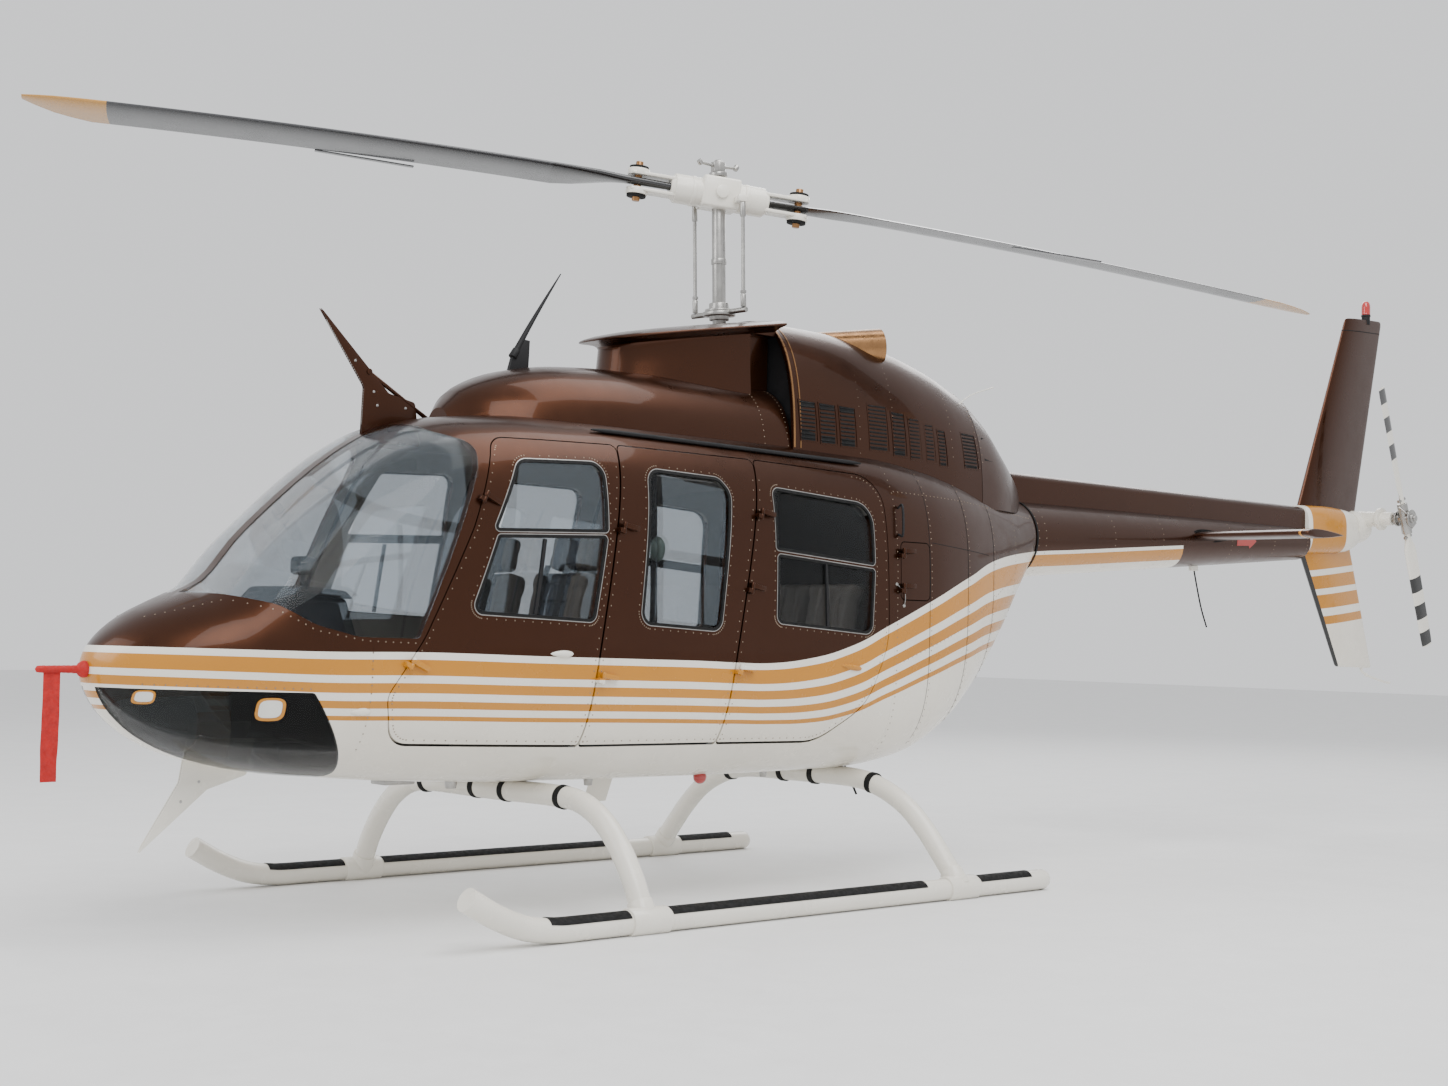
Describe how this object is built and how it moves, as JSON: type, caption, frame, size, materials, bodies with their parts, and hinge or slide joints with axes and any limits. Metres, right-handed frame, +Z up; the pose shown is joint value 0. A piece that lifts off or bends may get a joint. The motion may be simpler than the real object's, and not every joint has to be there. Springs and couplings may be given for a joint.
{
  "type": "light single-turbine helicopter",
  "caption": "Parked light helicopter on skids, with a hollow cabin, hinged doors, a teetering main rotor, a tail rotor and fins above and below the boom.",
  "frame": {"origin": "middle of the whole box in plan, on the ground under the skids", "axes": "+X towards the nose, +Y to port (the left side in flight), +Z up"},
  "size_m": [10.33, 3.348, 3.787],
  "materials": {
    "brown_paint": "dark metallic brown gloss paint",
    "cream_paint": "cream-white gloss paint",
    "gold_paint": "gold gloss paint",
    "clear_glass": "clear pane",
    "dark_glass": "dark tinted pane",
    "black_parts": "matt black",
    "steel": "plain machined metal",
    "bronze": "heat-tinted bronze metal",
    "blade_grey": "dark grey satin paint",
    "taupe_leather": "taupe leather",
    "red_cloth": "red cloth",
    "red_lamp": "clear red lens"
  },
  "bodies": {
    "airframe": {"aft_body": "brown_paint", "aft_cowl": "brown_paint", "beacon": "red_lamp", "cabin_floor": "taupe_leather", "cabin_shell": "brown_paint", "chin_window_port": "dark_glass", "chin_window_starboard": "dark_glass", "control_stick": "black_parts", "engine_block": "steel", "engine_cowl": "brown_paint", "exhaust_port": "bronze", "exhaust_starboard": "bronze", "front_cross_tube": "cream_paint", "front_seat_port": "taupe_leather", "front_seat_starboard": "taupe_leather", "instrument_hood": "black_parts", "intake_screen": "black_parts", "lower_fin": "cream_paint", "lower_wire_cutter": "cream_paint", "nose_shell": "brown_paint", "pitot_cover": "red_cloth", "pitot_ribbon": "red_cloth", "pylon_fairing": "brown_paint", "rear_bench": "taupe_leather", "rear_cross_tube": "cream_paint", "roof_fairing": "brown_paint", "shaft_cover": "brown_paint", "side_glass_starboard": "clear_glass", "skid_port": "cream_paint", "skid_starboard": "cream_paint", "stabiliser": "brown_paint", "tail_boom": "brown_paint", "tail_cone": "gold_paint", "tail_gearbox": "cream_paint", "tail_guard": "cream_paint", "upper_fin": "brown_paint", "upper_wire_cutter": "brown_paint", "whip_antenna": "black_parts", "windshield_port": "clear_glass", "windshield_starboard": "clear_glass"},
    "main_rotor": {"mast": "steel", "swashplate": "steel", "rotor_hub": "cream_paint", "main_blade_1": "blade_grey", "main_blade_2": "blade_grey", "pitch_link_1": "steel", "pitch_link_2": "steel"},
    "anti_torque_rotor": {"tail_rotor": "cream_paint"},
    "crew_door_left": {"crew_door_port": "brown_paint", "crew_glass_port": "clear_glass"},
    "crew_door_right": {"crew_door_starboard": "brown_paint", "crew_glass_starboard": "clear_glass"},
    "mid_door_left": {"mid_door_port": "brown_paint", "mid_glass_port": "clear_glass"},
    "aft_door_left": {"aft_door_port": "brown_paint", "aft_glass_port": "clear_glass"},
    "aft_door_right": {"aft_door_starboard": "brown_paint", "aft_glass_starboard": "clear_glass"},
    "baggage_lid": {"baggage_door": "brown_paint"}
  },
  "joints": [
    {"name": "main_rotor_spin", "type": "hinge", "parent": "airframe", "child": "main_rotor", "pos_m": [1.59, 0.00649, 3.545], "axis": [0.0349, 0, 0.9994], "continuous": true},
    {"name": "tail_rotor_spin", "type": "hinge", "parent": "airframe", "child": "anti_torque_rotor", "pos_m": [-4.66, 0.39149, 2.183], "axis": [0, 1, 0], "continuous": true},
    {"name": "crew_door_left_hinge", "type": "hinge", "parent": "airframe", "child": "crew_door_left", "pos_m": [3.8, 0.61669, 1.13], "axis": [0.4372, 0, -0.8994], "range_deg": [0, 70]},
    {"name": "crew_door_right_hinge", "type": "hinge", "parent": "airframe", "child": "crew_door_right", "pos_m": [3.8, -0.60371, 1.13], "axis": [-0.4372, 0, 0.8994], "range_deg": [0, 70]},
    {"name": "mid_door_left_hinge", "type": "hinge", "parent": "airframe", "child": "mid_door_left", "pos_m": [2.832, 0.68469, 1.07], "axis": [0.1583, 0.0107, -0.9873], "range_deg": [0, 70]},
    {"name": "aft_door_left_hinge", "type": "hinge", "parent": "airframe", "child": "aft_door_left", "pos_m": [1.994, 0.69009, 1.11], "axis": [0.1771, 0.0261, -0.9838], "range_deg": [0, 70]},
    {"name": "aft_door_right_hinge", "type": "hinge", "parent": "airframe", "child": "aft_door_right", "pos_m": [2.013, -0.67711, 1.11], "axis": [-0.1771, 0.0261, 0.9838], "range_deg": [0, 70]},
    {"name": "baggage_lid_hinge", "type": "hinge", "parent": "airframe", "child": "baggage_lid", "pos_m": [0.858, 0.68029, 1.53], "axis": [0, 0.0294, -0.9996], "range_deg": [0, 70]}
  ]
}
